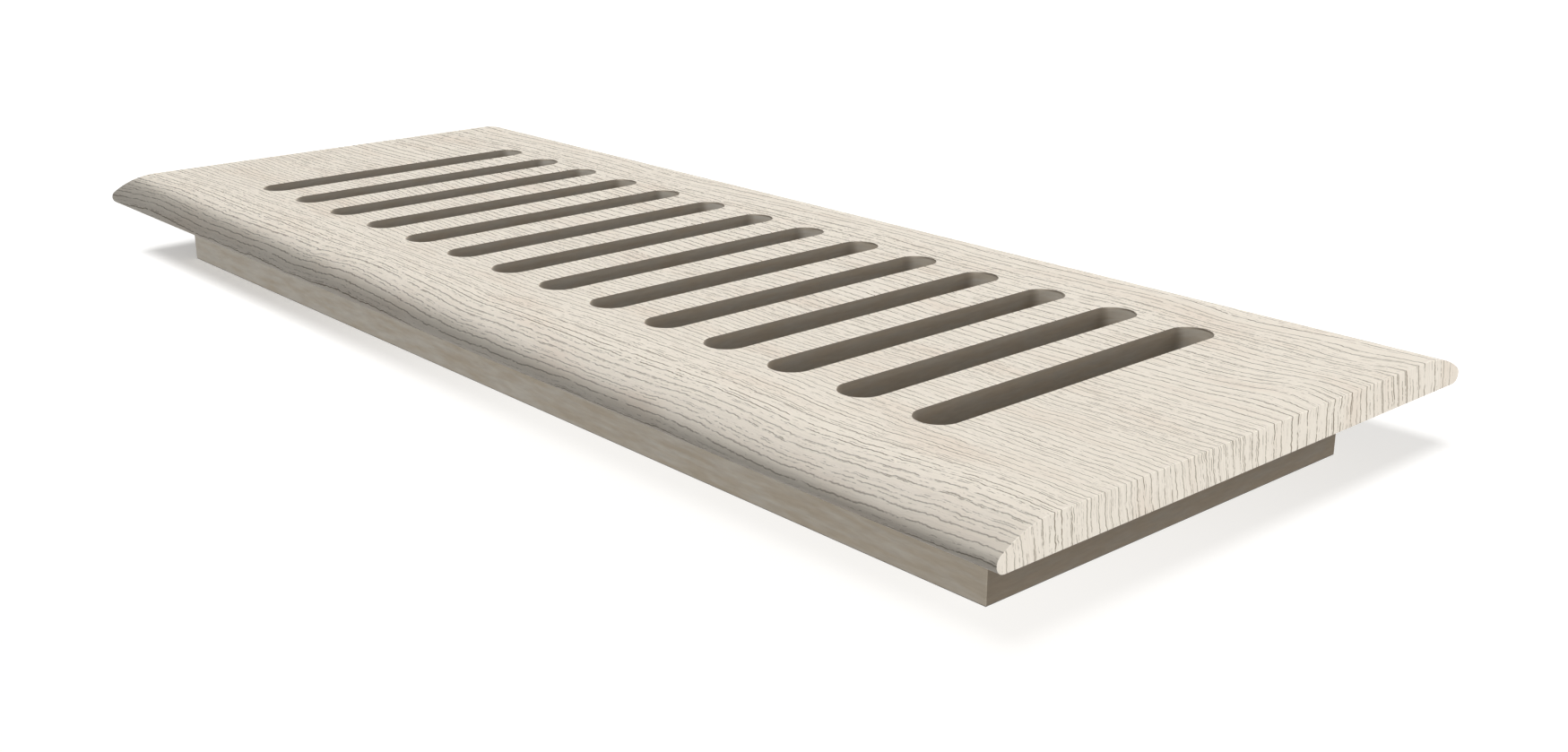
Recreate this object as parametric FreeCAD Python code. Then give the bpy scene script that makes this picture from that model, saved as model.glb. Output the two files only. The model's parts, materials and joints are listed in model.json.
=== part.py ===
import FreeCAD, Part
import math
import os

# Drop-in floor register: one slotted board with a wood-grain foil pressed over its face.
# The lip lies on the floor round the duct opening, and the block under it drops into the opening.
# X runs along the register, Y across it and Z up. The origin is under the middle of the block,
# in the plane of its underside. All sizes are in millimetres.

# Board and foil
board_thickness = 22.0
foil_thickness = 0.4
lip_thickness = 6.8

# Block that drops into the duct opening, and how far the lip reaches past it
block_length = 298.8
block_width = 103.0
end_overhang = 15.6
side_overhang = 15.9

# Long edges of the lip: a wide round falls from the flat top to a tight nose
crown_radius = 21.8
nose_radius = 1.75

# Slots, routed right through with a bit of the slots' own width
slot_width = 9.35
slot_pitch = 19.05
slot_side_wall = 10.4
least_end_wall = 16.0

# What follows from them
total_height = board_thickness + foil_thickness
seat_height = total_height - lip_thickness
lip_length = block_length + 2 * end_overhang
lip_width = block_width + 2 * side_overhang
slot_length = block_width - 2 * slot_side_wall
slot_row_room = block_length - 2 * least_end_wall - slot_width
slot_count = int(slot_row_room // slot_pitch) + 1

# Centres of the two rounds on the +Y edge. The nose lies inside the crown and touches it,
# so one angle, measured up from the Y axis, is where both rounds meet.
nose_y = lip_width / 2 - nose_radius
nose_z = seat_height + nose_radius
crown_z = total_height - crown_radius
meeting_angle = math.asin((nose_z - crown_z) / (crown_radius - nose_radius))
crown_y = nose_y - (crown_radius - nose_radius) * math.cos(meeting_angle)


def section_point(y, z):
    return FreeCAD.Vector(0, y, z)


def round_edge(side, centre_y, centre_z, radius, low_angle, high_angle):
    # An arc of the section, drawn from its low end to its high end.
    points = []
    for angle in (low_angle, (low_angle + high_angle) / 2, high_angle):
        y = centre_y + radius * math.cos(angle)
        z = centre_z + radius * math.sin(angle)
        points.append(section_point(side * y, z))
    return Part.Arc(points[0], points[1], points[2]).toShape()


def long_edge(side, inset):
    # One long edge of the lip in section, from its foot up to the flat top.
    edges = []
    if inset > 0:
        foot = section_point(side * nose_y, seat_height)
        step = section_point(side * nose_y, seat_height + inset)
        edges.append(Part.makeLine(foot, step))
    edges.append(round_edge(side, nose_y, nose_z, nose_radius - inset, -math.pi / 2, meeting_angle))
    edges.append(round_edge(side, crown_y, crown_z, crown_radius - inset, meeting_angle, math.pi / 2))
    return edges


def lip_body(inset):
    # The lip as a solid, set in by the inset under its top, long edges and ends.
    # Its underside stays in the plane of the seat.
    top = total_height - inset
    flat_top = Part.makeLine(section_point(crown_y, top), section_point(-crown_y, top))
    underside = Part.makeLine(section_point(-nose_y, seat_height), section_point(nose_y, seat_height))
    edges = long_edge(1, inset) + [flat_top] + long_edge(-1, inset)[::-1] + [underside]
    section = Part.Face(Part.Wire(edges))
    section.translate(FreeCAD.Vector(inset - lip_length / 2, 0, 0))
    return section.extrude(FreeCAD.Vector(lip_length - 2 * inset, 0, 0))


def drop_in_block():
    # It runs up into the lip, so the board comes out as one piece.
    corner = FreeCAD.Vector(-block_length / 2, -block_width / 2, 0)
    return Part.makeBox(block_length, block_width, board_thickness, corner)


def slot_cutter(x):
    # A straight pass of the router across the board, round at both ends.
    radius = slot_width / 2
    reach = slot_length / 2 - radius
    below = -slot_width
    near_left = FreeCAD.Vector(x - radius, -reach, below)
    near_right = FreeCAD.Vector(x + radius, -reach, below)
    far_left = FreeCAD.Vector(x - radius, reach, below)
    far_right = FreeCAD.Vector(x + radius, reach, below)
    near_tip = FreeCAD.Vector(x, -reach - radius, below)
    far_tip = FreeCAD.Vector(x, reach + radius, below)
    edges = [
        Part.makeLine(near_right, far_right),
        Part.Arc(far_right, far_tip, far_left).toShape(),
        Part.makeLine(far_left, near_left),
        Part.Arc(near_left, near_tip, near_right).toShape(),
    ]
    outline = Part.Face(Part.Wire(edges))
    return outline.extrude(FreeCAD.Vector(0, 0, total_height + 2 * slot_width))


def all_slots():
    first_x = -slot_pitch * (slot_count - 1) / 2
    return [slot_cutter(first_x + slot_pitch * number) for number in range(slot_count)]


def slotted_board():
    # Lip core and drop-in block, cut from one board, with every slot right through it.
    board = lip_body(foil_thickness).fuse(drop_in_block()).removeSplitter()
    return board.cut(all_slots())


def face_foil():
    # The foil covers the top, both rounded long edges and the square ends, and is trimmed
    # level with the seat. The slots were routed after it was pressed on, so they cut it too.
    foil = lip_body(0).cut(lip_body(foil_thickness))
    return foil.cut(all_slots())


parts = {
    "slotted_board": slotted_board(),
    "face_foil": face_foil(),
}

os.makedirs("parts", exist_ok=True)
for name, shape in parts.items():
    if shape.ShapeType != "Solid" and len(shape.Solids) == 1:
        shape = shape.Solids[0]
    shape.exportStep(os.path.join("parts", name + ".step"))
    box = shape.BoundBox
    print(name, len(shape.Solids), "solid", round(shape.Volume / 1000, 2), "cm3",
          [round(v, 2) for v in (box.XMin, box.XMax, box.YMin, box.YMax, box.ZMin, box.ZMax)])
print("slots", slot_count, "of", round(slot_length, 2), "mm")
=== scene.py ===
import json
import math

import bmesh
import bpy
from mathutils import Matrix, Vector


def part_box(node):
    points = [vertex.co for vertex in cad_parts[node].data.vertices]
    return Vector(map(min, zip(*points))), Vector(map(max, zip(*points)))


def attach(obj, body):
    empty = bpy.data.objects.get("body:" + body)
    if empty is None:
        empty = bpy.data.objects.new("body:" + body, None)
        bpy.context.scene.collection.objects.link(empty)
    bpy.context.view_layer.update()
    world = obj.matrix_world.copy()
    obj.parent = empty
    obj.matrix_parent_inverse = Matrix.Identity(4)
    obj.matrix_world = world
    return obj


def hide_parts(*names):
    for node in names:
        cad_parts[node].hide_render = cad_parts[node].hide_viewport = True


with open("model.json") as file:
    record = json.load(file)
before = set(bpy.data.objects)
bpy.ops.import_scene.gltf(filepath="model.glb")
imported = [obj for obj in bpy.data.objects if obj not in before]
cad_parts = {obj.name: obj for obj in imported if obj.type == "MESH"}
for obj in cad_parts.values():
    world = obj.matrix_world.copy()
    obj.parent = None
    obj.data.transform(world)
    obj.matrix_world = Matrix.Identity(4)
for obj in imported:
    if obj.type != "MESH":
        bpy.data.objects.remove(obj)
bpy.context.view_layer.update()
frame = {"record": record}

mm = 0.001


# Sizes, in metres: the frame gives the places, and the rounds and cuts repeat the part's own

foilLow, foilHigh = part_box("face_foil")
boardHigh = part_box("slotted_board")[1]
slotBoxes = frame["record"]["physics"]["openings"]
slotMiddles = sorted((box["box_m"][0][0] + box["box_m"][1][0]) / 2 for box in slotBoxes)

lip = {
    "halfLength": foilHigh[0],
    "halfWidth": foilHigh[1],
    "seat": foilLow[2],
    "top": foilHigh[2],
    "foil": foilHigh[2] - boardHigh[2],
    "crownRadius": 21.8 * mm,      # wide round from the flat top down to the nose
    "noseRadius": 1.75 * mm,       # tight round at the foot of each long edge
    "crownSteps": 22,
    "noseSteps": 16,
    "easedEdge": 0.05 * mm,        # the foil's fold at the ends isn't knife sharp
}
block = {
    "halfLength": 149.4 * mm,
    "halfWidth": 51.5 * mm,
    "easedEdge": 0.15 * mm,
}
slots = {
    "Slot Width": 9.35 * mm,
    "Slot Length": 82.2 * mm,
    "Slot Pitch": slotMiddles[1] - slotMiddles[0],
    "Slot Count": len(slotMiddles),
    "Board Top": lip["top"],
    "Rim Ease": 0.05 * mm,
    "Round Steps": 56,
}
finishing = {
    "mergeDistance": 1e-7,         # in metres
    "flatFacing": 0.99999,         # a face this square to an axis is flat, and any other belongs to a round
    "crease": math.radians(32),    # faces that meet at more than this keep a crisp edge
}

noseY = lip["halfWidth"] - lip["noseRadius"]
noseZ = lip["seat"] + lip["noseRadius"]
crownZ = lip["top"] - lip["crownRadius"]
radiusGap = lip["crownRadius"] - lip["noseRadius"]
meetingAngle = math.asin((noseZ - crownZ) / radiusGap)      # both rounds touch at this slope
crownY = noseY - radiusGap * math.cos(meetingAngle)


def hexColor(text):
    # An sRGB hex value as a linear colour, by the sRGB standard's own curve
    channels = [int(text[i:i + 2], 16) / 255 for i in (1, 3, 5)]
    return tuple(c / 12.92 if c <= 0.04045 else ((c + 0.055) / 1.055) ** 2.4 for c in channels) + (1.0,)


def addNode(tree, kind, settings, feeds):
    # Adds a node, sets its properties, and feeds each input a value, a socket or a node's first output
    node = tree.nodes.new(kind)
    for name, value in settings.items():
        setattr(node, name, value)
    for key, value in feeds.items():
        if isinstance(value, bpy.types.Node):
            value = value.outputs[0]
        if isinstance(value, bpy.types.NodeSocket):
            tree.links.new(value, node.inputs[key])
        else:
            node.inputs[key].default_value = value
    return node


# The face foil and the board, before their slots are cut

def lipSection(inset):
    # One section of the lip from the -Y foot over the top to the +Y foot, set in by the inset
    right = [(noseY, lip["seat"])]
    for step in range(lip["noseSteps"] + 1):
        angle = -math.pi / 2 + (meetingAngle + math.pi / 2) * step / lip["noseSteps"]
        radius = lip["noseRadius"] - inset
        right.append((noseY + radius * math.cos(angle), noseZ + radius * math.sin(angle)))
    for step in range(1, lip["crownSteps"] + 1):
        angle = meetingAngle + (math.pi / 2 - meetingAngle) * step / lip["crownSteps"]
        radius = lip["crownRadius"] - inset
        right.append((crownY + radius * math.cos(angle), crownZ + radius * math.sin(angle)))
    left = [(-y, z) for y, z in right]
    return left + right[::-1]


def addLoft(bm, stations):
    # Skin through sections at (x, inset) stations, with a flat cap on each end
    rings = [[bm.verts.new((x, y, z)) for y, z in lipSection(inset)] for x, inset in stations]
    for here, there in zip(rings, rings[1:]):
        for i in range(len(here) - 1):
            bm.faces.new((here[i], here[i + 1], there[i + 1], there[i]))
    bm.faces.new(rings[0])
    bm.faces.new(rings[-1])
    return rings


def closeMesh(bm, name):
    bmesh.ops.remove_doubles(bm, verts=bm.verts, dist=finishing["mergeDistance"])
    bmesh.ops.dissolve_degenerate(bm, edges=bm.edges, dist=finishing["mergeDistance"])
    bmesh.ops.recalc_face_normals(bm, faces=bm.faces)
    openEdges = [edge for edge in bm.edges if len(edge.link_faces) != 2]
    mesh = bpy.data.meshes.new(name)
    bm.to_mesh(mesh)
    bm.free()
    print(name, "open edges", len(openEdges))
    return mesh


def foilShell():
    # A tray turned over: outer skin, inner skin and the trimmed edge that joins them at the seat
    bm = bmesh.new()
    ease, thick = lip["easedEdge"], lip["foil"]
    outerEnd, innerEnd = lip["halfLength"], lip["halfLength"] - thick
    half = [(outerEnd, ease), (outerEnd - ease, 0.0), (innerEnd, 0.0)]
    outer = addLoft(bm, half + [(-x, inset) for x, inset in reversed(half)])
    inner = addLoft(bm, [(innerEnd, thick), (-innerEnd, thick)])
    for end, hollow in ((outer[:3], inner[0]), (outer[:2:-1], inner[1])):
        leftFeet = [ring[0] for ring in end]
        rightFeet = [ring[-1] for ring in end]
        bm.faces.new(leftFeet[:2] + [hollow[0], hollow[-1]] + rightFeet[1::-1])
    return closeMesh(bm, "foilShell")


def blockRing(bm, inset, z):
    # A rectangle with its corners eased, as eight points
    x, y, ease = block["halfLength"] - inset, block["halfWidth"] - inset, block["easedEdge"]
    corners = [(x, y), (-x, y), (-x, -y), (x, -y)]
    points = []
    for i, (cornerX, cornerY) in enumerate(corners):
        alongX = (cornerX - math.copysign(ease, cornerX), cornerY)
        alongY = (cornerX, cornerY - math.copysign(ease, cornerY))
        points += [alongY, alongX] if i % 2 == 0 else [alongX, alongY]
    return [bm.verts.new((px, py, z)) for px, py in points]


def boardBody():
    # Lip core and drop-in block in one closed skin
    bm = bmesh.new()
    end = lip["halfLength"] - lip["foil"]
    core = addLoft(bm, [(end, lip["foil"]), (-end, lip["foil"])])
    seatCorners = [core[0][-1], core[1][-1], core[1][0], core[0][0]]
    upper = blockRing(bm, 0.0, lip["seat"])
    lower = blockRing(bm, 0.0, block["easedEdge"])
    bottom = blockRing(bm, block["easedEdge"], 0.0)
    for i, corner in enumerate(seatCorners):
        following = (i + 1) % len(seatCorners)
        bm.faces.new((corner, upper[2 * i], upper[2 * i + 1]))
        bm.faces.new((corner, upper[2 * i + 1], upper[2 * following], seatCorners[following]))
    for above, below in ((upper, lower), (lower, bottom)):
        for i in range(len(above)):
            following = (i + 1) % len(above)
            bm.faces.new((above[i], below[i], below[following], above[following]))
    bm.faces.new(bottom)
    return closeMesh(bm, "boardBody")


# The row of slots, one tree that cuts both pieces

def slotRowTree():
    tree = bpy.data.node_groups.new("slotRow", "GeometryNodeTree")
    tree.interface.new_socket(name="Geometry", in_out="INPUT", socket_type="NodeSocketGeometry")
    for name, value in slots.items():
        kind = "NodeSocketInt" if isinstance(value, int) else "NodeSocketFloat"
        tree.interface.new_socket(name=name, in_out="INPUT", socket_type=kind)
    tree.interface.new_socket(name="Finish", in_out="INPUT", socket_type="NodeSocketMaterial")
    tree.interface.new_socket(name="Geometry", in_out="OUTPUT", socket_type="NodeSocketGeometry")
    given = addNode(tree, "NodeGroupInput", {}, {}).outputs

    # Every level of the drum that cuts a slot: how high it lies, and how far it reaches from the middle.
    # The flat walls stand half a step off the circle, so they are the slot's true width apart.
    turned = addNode(tree, "ShaderNodeMath", {"operation": "DIVIDE"}, {0: math.pi, 1: given["Round Steps"]})
    flat = addNode(tree, "ShaderNodeMath", {"operation": "COSINE"}, {0: turned})
    halfWidth = addNode(tree, "ShaderNodeMath", {"operation": "MULTIPLY"}, {0: given["Slot Width"], 1: 0.5})
    radius = addNode(tree, "ShaderNodeMath", {"operation": "DIVIDE"}, {0: halfWidth, 1: flat})
    wide = addNode(tree, "ShaderNodeMath", {"operation": "ADD"}, {0: radius, 1: given["Rim Ease"]})
    below = addNode(tree, "ShaderNodeMath", {"operation": "MULTIPLY"}, {0: given["Slot Width"], 1: -1.0})
    topRim = addNode(tree, "ShaderNodeMath", {"operation": "SUBTRACT"},
                     {0: given["Board Top"], 1: given["Rim Ease"]})
    above = addNode(tree, "ShaderNodeMath", {"operation": "ADD"},
                    {0: given["Board Top"], 1: given["Slot Width"]})
    levelPlan = [
        (below.outputs[0], wide.outputs[0]),
        (0.0, wide.outputs[0]),
        (given["Rim Ease"], radius.outputs[0]),
        (topRim.outputs[0], radius.outputs[0]),
        (given["Board Top"], wide.outputs[0]),
        (above.outputs[0], wide.outputs[0]),
    ]

    drumSteps = len(levelPlan) - 1
    drum = addNode(tree, "GeometryNodeMeshCylinder", {"fill_type": "NGON"},
                   {"Vertices": given["Round Steps"], "Side Segments": drumSteps,
                    "Radius": 1.0, "Depth": 1.0})
    place = addNode(tree, "GeometryNodeInputPosition", {}, {})
    spun = addNode(tree, "ShaderNodeVectorRotate", {"rotation_type": "Z_AXIS"},
                   {"Vector": place, "Angle": turned})
    parts = addNode(tree, "ShaderNodeSeparateXYZ", {}, {0: spun}).outputs
    level = addNode(tree, "ShaderNodeMath", {"operation": "MULTIPLY_ADD"},
                    {0: parts["Z"], 1: drumSteps, 2: drumSteps / 2})
    wholeLevel = addNode(tree, "ShaderNodeMath", {"operation": "ROUND"}, {0: level})
    heights = addNode(tree, "GeometryNodeIndexSwitch", {"data_type": "FLOAT"}, {"Index": wholeLevel})
    reaches = addNode(tree, "GeometryNodeIndexSwitch", {"data_type": "FLOAT"}, {"Index": wholeLevel})
    for switch, column in ((heights, 0), (reaches, 1)):
        while len(switch.index_switch_items) < len(levelPlan):
            switch.index_switch_items.new()
        for row, plan in enumerate(levelPlan):
            if isinstance(plan[column], bpy.types.NodeSocket):
                tree.links.new(plan[column], switch.inputs[row + 1])
            else:
                switch.inputs[row + 1].default_value = plan[column]

    # The drum's two halves slide apart along Y, which makes it a straight slot with round ends
    outX = addNode(tree, "ShaderNodeMath", {"operation": "MULTIPLY"}, {0: parts["X"], 1: reaches})
    outY = addNode(tree, "ShaderNodeMath", {"operation": "MULTIPLY"}, {0: parts["Y"], 1: reaches})
    side = addNode(tree, "ShaderNodeMath", {"operation": "SIGN"}, {0: parts["Y"]})
    straight = addNode(tree, "ShaderNodeMath", {"operation": "SUBTRACT"},
                       {0: given["Slot Length"], 1: given["Slot Width"]})
    halfStraight = addNode(tree, "ShaderNodeMath", {"operation": "MULTIPLY"}, {0: straight, 1: 0.5})
    slidY = addNode(tree, "ShaderNodeMath", {"operation": "MULTIPLY_ADD"},
                    {0: side, 1: halfStraight, 2: outY})
    moved = addNode(tree, "ShaderNodeCombineXYZ", {}, {0: outX, 1: slidY, 2: heights})
    cutter = addNode(tree, "GeometryNodeSetPosition", {}, {"Geometry": drum, "Position": moved})

    gaps = addNode(tree, "ShaderNodeMath", {"operation": "SUBTRACT"}, {0: given["Slot Count"], 1: 1.0})
    rowLength = addNode(tree, "ShaderNodeMath", {"operation": "MULTIPLY"},
                        {0: gaps, 1: given["Slot Pitch"]})
    rowStart = addNode(tree, "ShaderNodeMath", {"operation": "MULTIPLY"}, {0: rowLength, 1: -0.5})
    start = addNode(tree, "ShaderNodeCombineXYZ", {}, {0: rowStart})
    stride = addNode(tree, "ShaderNodeCombineXYZ", {}, {0: given["Slot Pitch"]})
    row = addNode(tree, "GeometryNodeMeshLine", {"mode": "OFFSET"},
                  {"Count": given["Slot Count"], "Start Location": start, "Offset": stride})
    copies = addNode(tree, "GeometryNodeInstanceOnPoints", {}, {"Points": row, "Instance": cutter})
    cutters = addNode(tree, "GeometryNodeRealizeInstances", {}, {"Geometry": copies})
    cut = addNode(tree, "GeometryNodeMeshBoolean", {"operation": "DIFFERENCE", "solver": "EXACT"},
                  {"Mesh 1": given["Geometry"], "Mesh 2": cutters})
    realized = addNode(tree, "GeometryNodeRealizeInstances", {}, {"Geometry": cut})
    finished = addNode(tree, "GeometryNodeSetMaterial", {},
                       {"Geometry": realized, "Material": given["Finish"]})
    addNode(tree, "NodeGroupOutput", {}, {"Geometry": finished})
    return tree


def shadeRounds(mesh):
    # Flat faces stay flat and rounds turn smooth, with a crisp edge where they meet at an angle
    for face in mesh.polygons:
        face.use_smooth = max(abs(axis) for axis in face.normal) < finishing["flatFacing"]
    mesh.set_sharp_from_angle(angle=finishing["crease"])


def cutPiece(name, body, tree, finish):
    # Runs the slot tree on one body and keeps the result as a plain mesh
    blank = bpy.data.objects.new(name + "Blank", body)
    bpy.context.scene.collection.objects.link(blank)
    modifier = blank.modifiers.new("slotRow", "NODES")
    modifier.node_group = tree
    values = dict(slots, Finish=finish)
    for socket in tree.interface.items_tree:
        if socket.in_out == "INPUT" and socket.name in values:
            modifier[socket.identifier] = values[socket.name]
    seen = blank.evaluated_get(bpy.context.evaluated_depsgraph_get())
    mesh = bpy.data.meshes.new_from_object(seen)
    bpy.data.objects.remove(blank)
    mesh.name = name
    shadeRounds(mesh)
    piece = bpy.data.objects.new(name, mesh)
    bpy.context.scene.collection.objects.link(piece)
    print(name, "faces", len(mesh.polygons))
    return piece


# Materials

# How far a wall faces along X where the board's colour starts to turn to end grain with painted shade, and
# the foil's cut edge to painted shade, and where it has turned
endGrainAndShadeTurn = {"From Min": 0.70, "From Max": 0.98}

foilFinish = {
    "plain": "#EBE3D6",         # the whitewash between the grain lines
    "warm": "#E1D2C2",          # where it lies thinner and the wood's pink shows
    "gray": "#D5CDC0",          # thin fibre streaks
    "line": "#5F503A",          # pores that hold dirt and stain
    "paintedShadeCutEdge": "#7B7265",       # its cut edge along the slots' long walls, darkened there as painted shade; and round the slots' ends, left light
    "cutEdgeLong": "#D8CCBA",   # and round the slots' ends
    "roughness": 0.6,
    "specular": 0.25,
    "emboss": 0.035,            # how deep the lines are pressed: all pattern sizes are in millimetres
    "embossShare": 0.6,         # how much of that depth shows
    "fibreEmboss": 0.25,        # the fibre's depth next to the lines'
    "endFacing": 0.75,          # a face that turns this far toward X is an end
    "wallFacing": 0.5,          # and one that turns less than this toward Z is a wall
    "endLean": 0.16,            # the lines lean this much on their way down an end
    # Waves that carry the lines with them: length, width across the grain, height, seed and detail
    "waves": (
        (62.0, 60.0, 7.0, 4.7, 1.0),        # slow sweeps
        (8.0, 22.0, 1.2, 9.1, 2.0),         # ripples
        (1.1, 3.0, 0.6, 2.6, 1.0),          # small jogs that make each line a little jagged
    ),
    # Swirls that push the lines aside: middle along, middle across, reach along, reach across, push
    "swirls": (
        (157, 22, 7, 12, 3.4),
        (126, 52, 14, 8, -3.0),
        (153, 47, 8, 7, -2.6),
        (150, -53, 16, 9, 2.2),
        (104, 4, 13, 9, -1.8),
        (20, 50, 22, 8, 2.6),
        (-60, 55, 30, 9, -3.0),
        (-112, -10, 24, 16, 3.2),
        (-35, -58, 26, 9, 2.4),
        (60, -60, 20, 8, -2.0),
    ),
    # Line spacing at places across the foil, from the -Y edge to the +Y edge
    "spacing": ((-85, 2.2), (-58, 2.2), (-46, 2.2), (-38, 1.6), (-8, 1.7), (4, 2.1), (18, 2.8), (85, 3.2)),
    "meanSpacing": 2.3,         # turns a line's width in millimetres to one in ranks
    # Long main lines, then short fine strokes: lines to a rank, how uneven, half width, length of a dash,
    # share left bare, darkness and seed
    "lineSets": (
        (1.0, 0.5, 0.105, 4.2, 0.33, 0.95, 0.5),
        (2.1, 0.9, 0.090, 2.8, 0.44, 0.84, 40.5),
    ),
    "lineCore": 0.3,            # share of a line's half width that is fully dark
    "faintest": 0.65,           # the faintest line is this dark next to the darkest of its set
    "dashShift": 83.0,          # takes each line's dashes from another part of the noise
    "dashFade": 0.16,           # how slowly a dash comes and goes
    "dashDetail": 4.0,
    "dashRoughness": 0.66,
    # The fine strokes crowd in bands: bands to a rank, where a band starts and is full, share left between
    "bandScale": 0.11,
    "bandRange": (0.35, 0.60),
    "betweenBands": 0.4,
    "strength": (1.42, 1.00),   # how dark the lines are at the -X end and at the +X end
    "crownStrength": 0.80,      # and on the rounded edges, next to the flat top's
    "crownFade": 6,             # reached this far down the round
    # Fine marks: cells to a millimetre along and across, detail, roughness, where they start and are full,
    # and how strong they get
    "fibre": ((0.16, 3.0), 3.0, 0.6, (0.42, 0.78), 0.65),
    "flecks": ((0.55, 3.6), 1.0, 0.5, (0.66, 0.80), 0.35),
    "blotches": ((0.028, 0.085), 3.0, 0.5, (0.46, 0.74), 0.55),
}


def foilCoordinates(tree):
    # Lays the foil out flat, in millimetres: along the grain, and across it round the long edges
    crownStart, crownReach, noseReach = crownY / mm, lip["crownRadius"] / mm, lip["noseRadius"] / mm
    seen = addNode(tree, "ShaderNodeTexCoord", {}, {})
    scaled = addNode(tree, "ShaderNodeMapping", {},
                     {"Vector": seen.outputs["Object"], "Scale": [1 / mm] * 3})
    place = addNode(tree, "ShaderNodeSeparateXYZ", {}, {0: scaled}).outputs
    facing = addNode(tree, "ShaderNodeSeparateXYZ", {}, {0: seen.outputs["Normal"]}).outputs
    facingX = addNode(tree, "ShaderNodeMath", {"operation": "ABSOLUTE"}, {0: facing["X"]})
    isEnd = addNode(tree, "ShaderNodeMath", {"operation": "GREATER_THAN"},
                    {0: facingX, 1: foilFinish["endFacing"]})

    # Down an end the foil runs on from the top, so the same lines turn the fold and go down
    drop = addNode(tree, "ShaderNodeMath", {"operation": "SUBTRACT"}, {0: lip["top"] / mm, 1: place["Z"]})
    endDrop = addNode(tree, "ShaderNodeMath", {"operation": "MULTIPLY"}, {0: drop, 1: isEnd})
    endSide = addNode(tree, "ShaderNodeMath", {"operation": "DIVIDE"},
                      {0: place["X"], 1: lip["halfLength"] / mm})
    along = addNode(tree, "ShaderNodeMath", {"operation": "MULTIPLY_ADD"},
                    {0: endDrop, 1: endSide, 2: place["X"]})

    # Across: flat top, then arc length over the crown round, then over the nose round
    away = addNode(tree, "ShaderNodeMath", {"operation": "ABSOLUTE"}, {0: place["Y"]})
    flatPart = addNode(tree, "ShaderNodeMath", {"operation": "MINIMUM"}, {0: away, 1: crownStart})
    pastFlat = addNode(tree, "ShaderNodeMath", {"operation": "SUBTRACT"}, {0: away, 1: crownStart})
    slope = addNode(tree, "ShaderNodeMapRange", {},
                    {"Value": pastFlat, "From Max": crownReach * math.cos(meetingAngle),
                     "To Max": math.cos(meetingAngle)})
    crownTurn = addNode(tree, "ShaderNodeMath", {"operation": "ARCSINE"}, {0: slope})
    overCrown = addNode(tree, "ShaderNodeMath", {"operation": "MULTIPLY_ADD"},
                        {0: crownTurn, 1: crownReach, 2: flatPart})
    fromNoseY = addNode(tree, "ShaderNodeMath", {"operation": "SUBTRACT"}, {0: away, 1: noseY / mm})
    fromNoseZ = addNode(tree, "ShaderNodeMath", {"operation": "SUBTRACT"}, {0: place["Z"], 1: noseZ / mm})
    noseTurn = addNode(tree, "ShaderNodeMath", {"operation": "ARCTAN2"}, {0: fromNoseY, 1: fromNoseZ})
    pastCrown = addNode(tree, "ShaderNodeMapRange", {},
                        {"Value": noseTurn, "From Min": math.pi / 2 - meetingAngle, "From Max": math.pi,
                         "To Max": (math.pi / 2 + meetingAngle) * noseReach})
    notEnd = addNode(tree, "ShaderNodeMath", {"operation": "SUBTRACT"}, {0: 1.0, 1: isEnd})
    overNose = addNode(tree, "ShaderNodeMath", {"operation": "MULTIPLY_ADD"},
                       {0: pastCrown, 1: notEnd, 2: overCrown})
    side = addNode(tree, "ShaderNodeMath", {"operation": "SIGN"}, {0: place["Y"]})
    signed = addNode(tree, "ShaderNodeMath", {"operation": "MULTIPLY"}, {0: side, 1: overNose})
    across = addNode(tree, "ShaderNodeMath", {"operation": "MULTIPLY_ADD"},
                     {0: endDrop, 1: -foilFinish["endLean"], 2: signed})
    return along, across


def withinBlock(tree, place):
    # 1 over and under the block, 0 outside its four sides
    reach = addNode(tree, "ShaderNodeMapping", {"vector_type": "TEXTURE"},
                    {"Vector": place, "Scale": (block["halfLength"], block["halfWidth"], 1.0)})
    bounds = addNode(tree, "ShaderNodeVectorMath", {"operation": "ABSOLUTE"}, {0: reach})
    sides = addNode(tree, "ShaderNodeSeparateXYZ", {}, {0: bounds}).outputs
    farthest = addNode(tree, "ShaderNodeMath", {"operation": "MAXIMUM"}, {0: sides["X"], 1: sides["Y"]})
    return addNode(tree, "ShaderNodeMath", {"operation": "LESS_THAN"}, {0: farthest, 1: 1.0})


def wavedLines(tree, along, across):
    # Where each spot of the foil lay across the grain before waves and swirls carried the lines aside
    waved = across
    for length, width, height, seed, detail in foilFinish["waves"]:
        fit = addNode(tree, "ShaderNodeCombineXYZ", {}, {0: along, 1: across, 2: seed})
        spot = addNode(tree, "ShaderNodeMapping", {},
                       {"Vector": fit, "Scale": (1 / length, 1 / width, 1.0)})
        noise = addNode(tree, "ShaderNodeTexNoise", {}, {"Vector": spot, "Scale": 1.0, "Detail": detail})
        waved = addNode(tree, "ShaderNodeMath", {"operation": "MULTIPLY_ADD"},
                        {0: noise.outputs["Fac"], 1: height, 2: waved})
    for middleAlong, middleAcross, reachAlong, reachAcross, push in foilFinish["swirls"]:
        spot = addNode(tree, "ShaderNodeCombineXYZ", {}, {0: along, 1: across})
        near = addNode(tree, "ShaderNodeMapping", {"vector_type": "TEXTURE"},
                       {"Vector": spot, "Location": (middleAlong, middleAcross, 0),
                        "Scale": (reachAlong, reachAcross, 1)})
        squared = addNode(tree, "ShaderNodeVectorMath", {"operation": "DOT_PRODUCT"}, {0: near, 1: near})
        falling = addNode(tree, "ShaderNodeMath", {"operation": "POWER"},
                          {0: math.exp(-1.0), 1: squared.outputs["Value"]})
        waved = addNode(tree, "ShaderNodeMath", {"operation": "MULTIPLY_ADD"},
                        {0: falling, 1: -push, 2: waved})
    return waved


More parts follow.
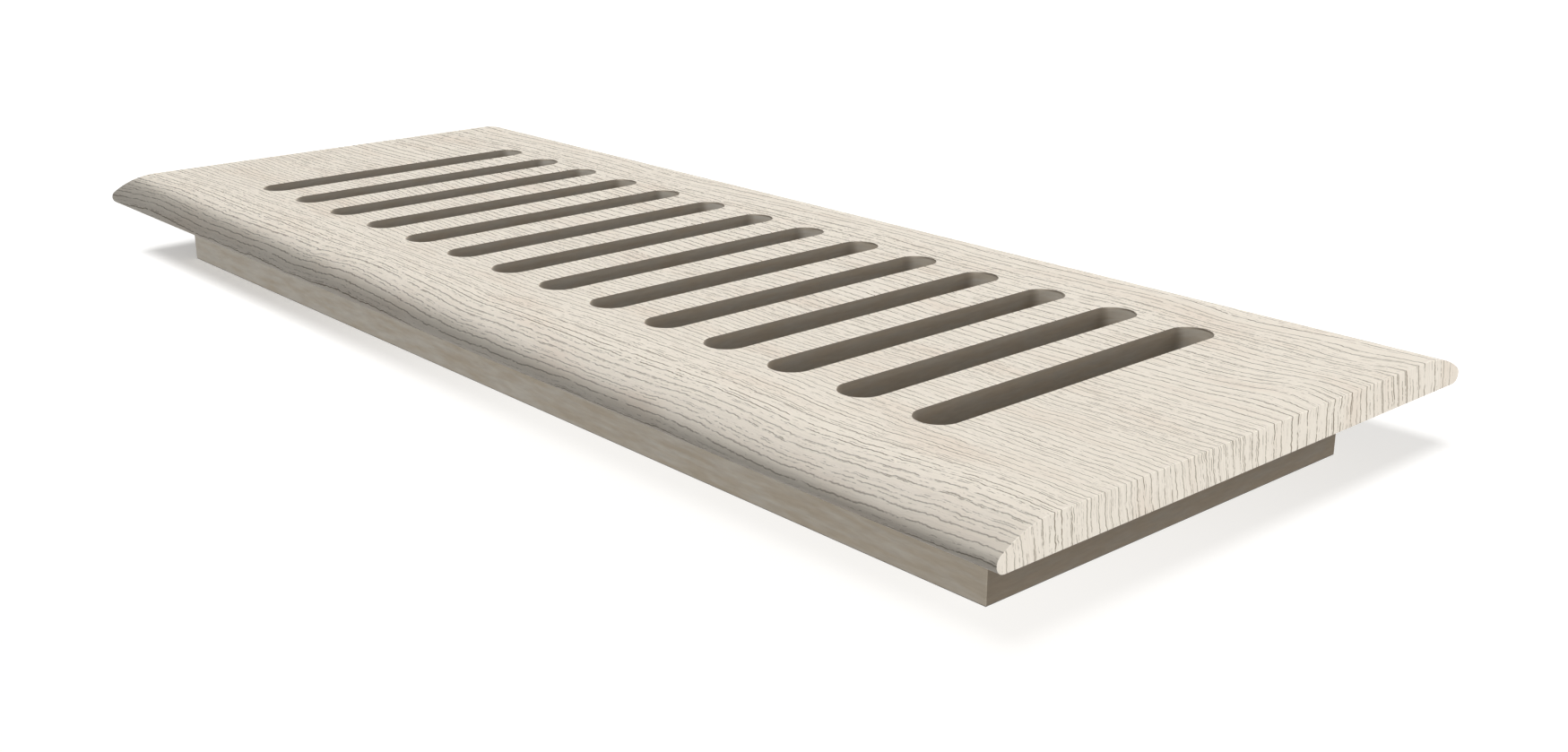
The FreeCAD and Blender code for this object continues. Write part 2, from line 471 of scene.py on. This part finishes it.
def lineRank(tree, waved):
    # Counts the lines from edge to edge, so they lie closer where the count climbs faster
    spacing = foilFinish["spacing"]
    ranks = [0.0]
    for (fromPlace, fromGap), (toPlace, toGap) in zip(spacing, spacing[1:]):
        ranks.append(ranks[-1] + (toPlace - fromPlace) * 2 / (fromGap + toGap))
    first, last = spacing[0][0], spacing[-1][0]
    share = addNode(tree, "ShaderNodeMapRange", {}, {"Value": waved, "From Min": first, "From Max": last})
    curve = addNode(tree, "ShaderNodeFloatCurve", {}, {"Value": share})
    for (place, gap), rank in list(zip(spacing, ranks))[1:-1]:
        curve.mapping.curves[0].points.new((place - first) / (last - first), rank / ranks[-1])
    curve.mapping.update()
    return addNode(tree, "ShaderNodeMath", {"operation": "MULTIPLY"}, {0: curve, 1: ranks[-1]})


def poreLines(tree, along, across, rank):
    # Both sets of broken lines as one mask, 0 between the lines
    bands = addNode(tree, "ShaderNodeTexNoise", {"noise_dimensions": "1D"},
                    {"W": rank, "Scale": foilFinish["bandScale"], "Detail": 1.0})
    bandStart, bandFull = foilFinish["bandRange"]
    masks = []
    for perRank, uneven, halfWidth, dash, bare, darkest, seed in foilFinish["lineSets"]:
        setRank = addNode(tree, "ShaderNodeMath", {"operation": "MULTIPLY_ADD"},
                          {0: rank, 1: perRank, 2: seed})
        line = addNode(tree, "ShaderNodeTexVoronoi", {"voronoi_dimensions": "1D"},
                       {"W": setRank, "Scale": 1.0, "Randomness": uneven})
        own = addNode(tree, "ShaderNodeSeparateColor", {}, {0: line.outputs["Color"]}).outputs
        dashAlong = addNode(tree, "ShaderNodeMath", {"operation": "DIVIDE"}, {0: along, 1: dash})
        dashLine = addNode(tree, "ShaderNodeMath", {"operation": "MULTIPLY"},
                           {0: own["Red"], 1: foilFinish["dashShift"]})
        dashSpot = addNode(tree, "ShaderNodeCombineXYZ", {}, {0: dashAlong, 1: dashLine, 2: seed})
        dashes = addNode(tree, "ShaderNodeTexNoise", {},
                         {"Vector": dashSpot, "Scale": 1.0, "Detail": foilFinish["dashDetail"],
                          "Roughness": foilFinish["dashRoughness"]})
        kept = addNode(tree, "ShaderNodeMapRange", {"interpolation_type": "SMOOTHSTEP"},
                       {"Value": dashes.outputs["Fac"], "From Min": bare,
                        "From Max": bare + foilFinish["dashFade"]})
        rankWidth = halfWidth * perRank / foilFinish["meanSpacing"]
        wider = addNode(tree, "ShaderNodeMath", {"operation": "MULTIPLY_ADD"},
                        {0: kept, 1: rankWidth, 2: rankWidth})
        thin = addNode(tree, "ShaderNodeMapRange", {"interpolation_type": "SMOOTHSTEP"},
                       {"Value": line.outputs["Distance"], "From Min": rankWidth * foilFinish["lineCore"],
                        "From Max": wider, "To Min": 1.0, "To Max": 0.0})
        shown = addNode(tree, "ShaderNodeMath", {"operation": "MULTIPLY"}, {0: thin, 1: kept})
        ownDark = addNode(tree, "ShaderNodeMapRange", {},
                          {"Value": own["Green"],
                           "To Min": foilFinish["faintest"] * darkest, "To Max": darkest})
        masks.append(addNode(tree, "ShaderNodeMath", {"operation": "MULTIPLY"}, {0: shown, 1: ownDark}))
    mainLines, fineStrokes = masks
    crowded = addNode(tree, "ShaderNodeMapRange", {"interpolation_type": "SMOOTHSTEP"},
                      {"Value": bands.outputs["Fac"], "From Min": bandStart, "From Max": bandFull,
                       "To Min": foilFinish["betweenBands"], "To Max": 1.0})
    banded = addNode(tree, "ShaderNodeMath", {"operation": "MULTIPLY"}, {0: fineStrokes, 1: crowded})
    bothSets = addNode(tree, "ShaderNodeMath", {"operation": "MAXIMUM"}, {0: mainLines, 1: banded})

    # Darker toward -X, and fainter on the rounds
    foilEnd, crownStart = lip["halfLength"] / mm, crownY / mm
    alongShare = addNode(tree, "ShaderNodeMapRange", {},
                         {"Value": along, "From Min": -foilEnd, "From Max": foilEnd,
                          "To Min": foilFinish["strength"][0], "To Max": foilFinish["strength"][1]})
    away = addNode(tree, "ShaderNodeMath", {"operation": "ABSOLUTE"}, {0: across})
    acrossShare = addNode(tree, "ShaderNodeMapRange", {"interpolation_type": "SMOOTHSTEP"},
                          {"Value": away, "From Min": crownStart,
                           "From Max": crownStart + foilFinish["crownFade"],
                           "To Min": 1.0, "To Max": foilFinish["crownStrength"]})
    strength = addNode(tree, "ShaderNodeMath", {"operation": "MULTIPLY"}, {0: alongShare, 1: acrossShare})
    return addNode(tree, "ShaderNodeMath", {"operation": "MULTIPLY"}, {0: bothSets, 1: strength})


def fineMarks(tree, spot, name):
    # The noise of one kind of fine mark, and how much of it shows at each spot
    cells, detail, roughness, (start, full), share = foilFinish[name]
    fit = addNode(tree, "ShaderNodeMapping", {}, {"Vector": spot, "Scale": (*cells, 1.0)})
    noise = addNode(tree, "ShaderNodeTexNoise", {},
                    {"Vector": fit, "Scale": 1.0, "Detail": detail, "Roughness": roughness}).outputs["Fac"]
    amount = addNode(tree, "ShaderNodeMapRange", {"interpolation_type": "SMOOTHSTEP"},
                     {"Value": noise, "From Min": start, "From Max": full, "To Max": share})
    return noise, amount


def whitewashedOakFoil():
    # Printed and embossed oak foil, whitewashed and matte: pale cream, with broken wavy pore lines
    material = bpy.data.materials.new("whitewashedOakFoil")
    material.use_nodes = True
    tree = material.node_tree
    shader = tree.nodes["Principled BSDF"]
    along, across = foilCoordinates(tree)
    waved = wavedLines(tree, along, across)
    lines = poreLines(tree, along, across, lineRank(tree, waved))

    # Whitewash with warm blotches a few centimetres long, gray fibre streaks, pore lines and short flecks
    spot = addNode(tree, "ShaderNodeCombineXYZ", {}, {0: along, 1: waved})
    fibre, grayness = fineMarks(tree, spot, "fibre")
    flecks = fineMarks(tree, spot, "flecks")[1]
    warmth = fineMarks(tree, spot, "blotches")[1]
    warmed = addNode(tree, "ShaderNodeMix", {"data_type": "RGBA"},
                     {"Factor": warmth, 6: hexColor(foilFinish["plain"]), 7: hexColor(foilFinish["warm"])})
    grayed = addNode(tree, "ShaderNodeMix", {"data_type": "RGBA"},
                     {"Factor": grayness, 6: warmed.outputs[2], 7: hexColor(foilFinish["gray"])})
    marks = addNode(tree, "ShaderNodeMath", {"operation": "MAXIMUM"}, {0: lines, 1: flecks})
    colored = addNode(tree, "ShaderNodeMix", {"data_type": "RGBA"},
                      {"Factor": marks, 6: grayed.outputs[2], 7: hexColor(foilFinish["line"])})

    # Inside the slots the foil shows only its cut edge, with painted shade on it along the slots' long walls
    seen = addNode(tree, "ShaderNodeTexCoord", {}, {})
    facing = addNode(tree, "ShaderNodeSeparateXYZ", {}, {0: seen.outputs["Normal"]}).outputs
    upright = addNode(tree, "ShaderNodeMath", {"operation": "COMPARE"},
                      {0: facing["Z"], 1: 0.0, 2: foilFinish["wallFacing"]})
    isCut = addNode(tree, "ShaderNodeMath", {"operation": "MULTIPLY"},
                    {0: upright, 1: withinBlock(tree, seen.outputs["Object"])})
    facingX = addNode(tree, "ShaderNodeMath", {"operation": "ABSOLUTE"}, {0: facing["X"]})
    # Painted shade: the cut edge turns dark where it faces along X, on the slots' long walls
    cutShadeShare = addNode(tree, "ShaderNodeMapRange", {"interpolation_type": "SMOOTHSTEP"},
                       {"Value": facingX, **endGrainAndShadeTurn})
    cutShadedColor = addNode(tree, "ShaderNodeMix", {"data_type": "RGBA"},
                       {"Factor": cutShadeShare, 6: hexColor(foilFinish["cutEdgeLong"]),
                        7: hexColor(foilFinish["paintedShadeCutEdge"])})
    withCut = addNode(tree, "ShaderNodeMix", {"data_type": "RGBA"},
                      {"Factor": isCut, 6: colored.outputs[2], 7: cutShadedColor.outputs[2]})
    tree.links.new(withCut.outputs[2], shader.inputs["Base Color"])

    # The emboss follows the print, so the lines are shallow grooves
    depth = addNode(tree, "ShaderNodeMath", {"operation": "MULTIPLY"}, {0: marks, 1: -1.0})
    relief = addNode(tree, "ShaderNodeMath", {"operation": "MULTIPLY_ADD"},
                     {0: fibre, 1: foilFinish["fibreEmboss"], 2: depth})
    bump = addNode(tree, "ShaderNodeBump", {},
                   {"Height": relief, "Strength": foilFinish["embossShare"],
                    "Distance": foilFinish["emboss"] * mm})
    tree.links.new(bump.outputs[0], shader.inputs["Normal"])
    shader.inputs["Roughness"].default_value = foilFinish["roughness"]
    shader.inputs["Specular IOR Level"].default_value = foilFinish["specular"]
    return material


boardFinish = {
    "longGrain": "#9D9384",      # the block's long sides and the slots' round ends
    "longGrainGray": "#A8A298",
    "endGrainAndShade": "#7A6F60",       # the block's ends and the slots' long walls: cut across the fibres, so they drink in more stain; this darker tone is also painted shade for the shade on them
                                 # drink in more stain
    "endGrainAndShadeGray": "#7C756A",
    "patch": 1.5,                # how tall the stain's patches and finer streaks are, in millimetres
    "streak": 0.55,
    "stretch": 6.0,              # and how many times as long
    "patchDetail": 3.0,
    "streakDetail": 2.0,
    "patchRange": (0.32, 0.68),  # where the stain starts to turn gray, and where it has turned
    "streakRange": (0.30, 0.70),
    "streakTone": (0.93, 1.04),  # how dark and how light the streaks are
    "grayToLeft": 0.8,           # the stain turns this much grayer per metre toward -X
    "roughness": 0.72,
    "specular": 0.25,
    "relief": 0.05,              # the streaks' depth in millimetres
    "reliefShare": 0.3,          # how much of that depth shows
}


def stainedBoard():
    # Light hardwood board with a thin taupe stain: matte, darker on end grain, where the darker tone is also
    # painted shade, softly clouded
    material = bpy.data.materials.new("stainedBoard")
    material.use_nodes = True
    tree = material.node_tree
    shader = tree.nodes["Principled BSDF"]
    seen = addNode(tree, "ShaderNodeTexCoord", {}, {})

    # Stain wiped on along the board: patches and finer streaks, much longer than they are tall
    noises = []
    for height, detail in ((boardFinish["patch"], boardFinish["patchDetail"]),
                           (boardFinish["streak"], boardFinish["streakDetail"])):
        stretches = (boardFinish["stretch"], boardFinish["stretch"], 1.0)
        fit = addNode(tree, "ShaderNodeMapping", {},
                      {"Vector": seen.outputs["Object"],
                       "Scale": [1 / mm / height / times for times in stretches]})
        noise = addNode(tree, "ShaderNodeTexNoise", {}, {"Vector": fit, "Scale": 1.0, "Detail": detail})
        noises.append(noise.outputs["Fac"])
    patch, streak = noises
    patchStart, patchFull = boardFinish["patchRange"]
    streakStart, streakFull = boardFinish["streakRange"]
    streakDark, streakLight = boardFinish["streakTone"]
    place = addNode(tree, "ShaderNodeSeparateXYZ", {}, {0: seen.outputs["Object"]}).outputs
    shifted = addNode(tree, "ShaderNodeMath", {"operation": "MULTIPLY_ADD"},
                      {0: place["X"], 1: -boardFinish["grayToLeft"], 2: patch})
    clouds = addNode(tree, "ShaderNodeMapRange", {},
                     {"Value": shifted, "From Min": patchStart, "From Max": patchFull})
    # The ends and the slots' long walls turn to the darker tone: end grain, and painted shade for the shade
    # on them
    facing = addNode(tree, "ShaderNodeSeparateXYZ", {}, {0: seen.outputs["Normal"]}).outputs
    facingX = addNode(tree, "ShaderNodeMath", {"operation": "ABSOLUTE"}, {0: facing["X"]})
    endShadeShare = addNode(tree, "ShaderNodeMapRange", {"interpolation_type": "SMOOTHSTEP"},
                       {"Value": facingX, **endGrainAndShadeTurn})
    longColor, endGrainShadeColor = [
        addNode(tree, "ShaderNodeMix", {"data_type": "RGBA"},
                {"Factor": clouds, 6: hexColor(boardFinish[grain]),
                 7: hexColor(boardFinish[grain + "Gray"])})
        for grain in ("longGrain", "endGrainAndShade")]
    colored = addNode(tree, "ShaderNodeMix", {"data_type": "RGBA"},
                      {"Factor": endShadeShare, 6: longColor.outputs[2], 7: endGrainShadeColor.outputs[2]})
    tone = addNode(tree, "ShaderNodeMapRange", {},
                   {"Value": streak, "From Min": streakStart, "From Max": streakFull,
                    "To Min": streakDark, "To Max": streakLight})
    toned = addNode(tree, "ShaderNodeVectorMath", {"operation": "SCALE"},
                    {0: colored.outputs[2], "Scale": tone})
    tree.links.new(toned.outputs[0], shader.inputs["Base Color"])
    bump = addNode(tree, "ShaderNodeBump", {},
                   {"Height": streak, "Strength": boardFinish["reliefShare"],
                    "Distance": boardFinish["relief"] * mm})
    tree.links.new(bump.outputs[0], shader.inputs["Normal"])
    shader.inputs["Roughness"].default_value = boardFinish["roughness"]
    shader.inputs["Specular IOR Level"].default_value = boardFinish["specular"]
    return material


# Pieces

slotRow = slotRowTree()
foilPiece = cutPiece("faceFoil", foilShell(), slotRow, whitewashedOakFoil())
boardPiece = cutPiece("slottedBoard", boardBody(), slotRow, stainedBoard())
for piece, node, slot in ((foilPiece, "face_foil", "foil"), (boardPiece, "slotted_board", "board")):
    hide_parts(node)
    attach(piece, "root")


# Floor, light and camera

studio = {
    "white": (1.0, 1.0, 1.0, 1.0),
    "ambient": 0.155,               # world light on the object, where 1 is white
    "floorGlow": 0.30,              # what the floor throws back at the object
    # The shadow is deep at the far left and fades toward the near corner: there the floor glows more and
    # takes less lamp light. Each pair holds for the deep end and for the faint one.
    "floorBase": (0.35, 0.88),
    "floorAlbedo": (0.90, 0.17),
    "floorTint": (1.0, 0.982, 0.955, 1.0),
    "fadeAlongX": (-140 * mm, 50 * mm),
    "fadeAlongY": (194 * mm, -83 * mm),
    "contactPaintedShade": 0.25,               # painted shade: share of that glow left where the floor is closed in
    "deepReach": 20 * mm,
    "deepRange": (0.05, 0.28),      # how open the floor is where it is darkest, and where it is light again
    "openSamples": 16,
    "slotPaintedShade": 0.22,               # painted shade: share left of it all as seen through the slots
    "floorSize": 6.0,
}
lamps = {
    # Way from the register to the lamp, level that a white card square to it would show, size in metres,
    # and what it lights
    "keyLamp": ((0.43, 0.715, 0.555), 0.43, 0.70, "foil"),
    "frontLamp": ((0.15, -0.50, 0.85), 0.105, 1.20, "foil"),
    "endLamp": ((1.0, 0.10, 0.10), 0.53, 0.80, "foil"),
    "boardKeyLamp": ((0.60, 0.55, 0.60), 1.05, 4.00, "board"),
    "boardFrontLamp": ((0.05, -0.95, 0.30), 0.68, 2.00, "board"),
    "boardEndLamp": ((1.0, 0.10, 0.10), 0.28, 0.80, "board"),
    "floorLamp": ((0.20, -0.47, 1.0), 0.70, 1.50, "floor"),
    "floorSideLamp": ((1.0, -0.30, 0.35), 0.60, 2.60, "floor"),
}
lampDistance = 4.0
topLamp = {
    # Gridded softbox straight overhead, flagged so that its light ends softly along the front crown
    "level": 0.455,
    "lengths": (500 * mm, 200 * mm),
    "frontEdge": -64.3 * mm,
    "turn": -0.024,            # in radians: the light reaches farther down the crown toward +X
    "height": 400 * mm,
    "softness": 3.8 * mm,
}


def addLamp(name, toward, level, size, lit):
    # The register's lamps are square softboxes. The floor's shine evenly as far as it reaches.
    if lit == "floor":
        data = bpy.data.lights.new(name, "SUN")
        data.angle = 2 * math.atan(size / 2 / lampDistance)
        data.energy = level * math.pi
    else:
        data = bpy.data.lights.new(name, "AREA")
        data.shape = "SQUARE"
        data.size = size
        data.energy = level * math.pi ** 2 * lampDistance ** 2
    lamp = bpy.data.objects.new(name, data)
    direction = Vector(toward).normalized()
    lamp.location = direction * lampDistance
    lamp.rotation_mode = "QUATERNION"
    lamp.rotation_quaternion = direction.to_track_quat("Z", "Y")
    bpy.context.scene.collection.objects.link(lamp)
    lamp.light_linking.receiver_collection = litGroups[lit]


def addTopLamp():
    data = bpy.data.lights.new("topLamp", "AREA")
    data.shape = "RECTANGLE"
    data.size, data.size_y = topLamp["lengths"]
    data.spread = 2 * math.atan(topLamp["softness"] / topLamp["height"])
    data.energy = topLamp["level"] * math.pi * data.size * data.size_y
    lamp = bpy.data.objects.new("topLamp", data)
    lamp.location = (0.0, topLamp["frontEdge"] + data.size_y / 2, topLamp["height"])
    lamp.rotation_euler = (0.0, 0.0, topLamp["turn"])
    bpy.context.scene.collection.objects.link(lamp)
    lamp.light_linking.receiver_collection = litGroups["foil"]


def seenRay(tree):
    # 1 for what the camera sees straight, in a gloss or through glass
    path = addNode(tree, "ShaderNodeLightPath", {}, {}).outputs
    glossy = addNode(tree, "ShaderNodeMath", {"operation": "MAXIMUM"},
                     {0: path["Is Camera Ray"], 1: path["Is Glossy Ray"]})
    return addNode(tree, "ShaderNodeMath", {"operation": "MAXIMUM"},
                   {0: glossy, 1: path["Is Transmission Ray"]})


def studioWorld():
    world = bpy.data.worlds.new("studioWorld")
    world.use_nodes = True
    tree = world.node_tree
    background = tree.nodes["Background"]
    strength = addNode(tree, "ShaderNodeMapRange", {},
                       {"Value": seenRay(tree), "To Min": studio["ambient"], "To Max": 1.0})
    tree.links.new(strength.outputs[0], background.inputs["Strength"])
    background.inputs["Color"].default_value = studio["white"]
    bpy.context.scene.world = world


def floorSweep():
    # Plain white sweep: a matte sheet that mostly glows by itself, so the shadow on it stays faint
    material = bpy.data.materials.new("paleFloor")
    material.use_nodes = True
    tree = material.node_tree
    tree.nodes.remove(tree.nodes["Principled BSDF"])
    seen = addNode(tree, "ShaderNodeTexCoord", {}, {})
    place = addNode(tree, "ShaderNodeSeparateXYZ", {}, {0: seen.outputs["Object"]}).outputs
    alongX, alongY = [
        addNode(tree, "ShaderNodeMapRange", {},
                {"Value": place[axis], "From Min": studio[key][0], "From Max": studio[key][1]})
        for axis, key in (("X", "fadeAlongX"), ("Y", "fadeAlongY"))]
    lesser = addNode(tree, "ShaderNodeMath", {"operation": "MINIMUM"}, {0: alongX, 1: alongY})
    glow, albedo = [
        addNode(tree, "ShaderNodeMapRange", {"interpolation_type": "SMOOTHSTEP"},
                {"Value": lesser, "To Min": studio[key][0], "To Max": studio[key][1]})
        for key in ("floorBase", "floorAlbedo")]

    # Painted shade: right under the lip the floor is a little darker, and seen through the slots it is dark
    darkest, notDark = studio["deepRange"]
    opening = addNode(tree, "ShaderNodeAmbientOcclusion", {"samples": studio["openSamples"]},
                      {"Distance": studio["deepReach"]})
    deep = addNode(tree, "ShaderNodeMapRange", {"interpolation_type": "SMOOTHSTEP"},
                   {"Value": opening.outputs["AO"], "From Min": darkest, "From Max": notDark,
                    "To Min": studio["contactPaintedShade"]})
    slotShadeShare = addNode(tree, "ShaderNodeMapRange", {},
                        {"Value": withinBlock(tree, seen.outputs["Object"]),
                         "To Min": 1.0, "To Max": studio["slotPaintedShade"]})
    shade = addNode(tree, "ShaderNodeMath", {"operation": "MULTIPLY"}, {0: deep, 1: slotShadeShare})
    level = addNode(tree, "ShaderNodeMath", {"operation": "MULTIPLY"}, {0: glow, 1: shade})
    base = addNode(tree, "ShaderNodeEmission", {}, {"Color": studio["floorTint"], "Strength": level})
    matte = addNode(tree, "ShaderNodeMath", {"operation": "MULTIPLY"}, {0: albedo, 1: slotShadeShare})
    sheet = addNode(tree, "ShaderNodeBsdfDiffuse", {}, {"Color": matte})
    shown = addNode(tree, "ShaderNodeAddShader", {}, {0: base, 1: sheet})
    bounce = addNode(tree, "ShaderNodeEmission", {}, {"Strength": studio["floorGlow"]})
    mixed = addNode(tree, "ShaderNodeMixShader", {}, {0: seenRay(tree), 1: bounce, 2: shown})
    tree.links.new(mixed.outputs[0], tree.nodes["Material Output"].inputs["Surface"])

    bm = bmesh.new()
    bmesh.ops.create_grid(bm, x_segments=1, y_segments=1, size=studio["floorSize"] / 2)
    mesh = bpy.data.meshes.new("floor")
    bm.to_mesh(mesh)
    bm.free()
    mesh.materials.append(material)
    floor = bpy.data.objects.new("floor", mesh)
    bpy.context.scene.collection.objects.link(floor)
    return floor


view = {
    "place": (317.58 * mm, -245.20 * mm, 124.53 * mm),
    "yaw": 0.7284,                 # turned this far from -X toward +Y, in radians
    "pitch": 0.3229,               # looking down
    "focalPixels": 1938.2,
    "pictureWidth": 1749,
    "sensor": 36.0,
    "nearest": 10 * mm,
}


def addCamera():
    data = bpy.data.cameras.new("camera")
    data.sensor_width = view["sensor"]
    data.lens = view["focalPixels"] * view["sensor"] / view["pictureWidth"]
    data.clip_start = view["nearest"]
    camera = bpy.data.objects.new("camera", data)
    camera.location = view["place"]
    yaw, pitch = view["yaw"], view["pitch"]
    forward = Vector((-math.cos(yaw) * math.cos(pitch), math.sin(yaw) * math.cos(pitch), -math.sin(pitch)))
    camera.rotation_mode = "QUATERNION"
    camera.rotation_quaternion = forward.to_track_quat("-Z", "Y")
    bpy.context.scene.collection.objects.link(camera)
    bpy.context.scene.camera = camera


studioWorld()
litGroups = {}
for lit, member in (("foil", foilPiece), ("board", boardPiece), ("floor", floorSweep())):
    litGroups[lit] = bpy.data.collections.new(lit + "Lit")
    litGroups[lit].objects.link(member)
for name, (toward, level, size, lit) in lamps.items():
    addLamp(name, toward, level, size, lit)
addTopLamp()
addCamera()
bpy.context.scene.view_settings.view_transform = "Standard"
print("scene ready")
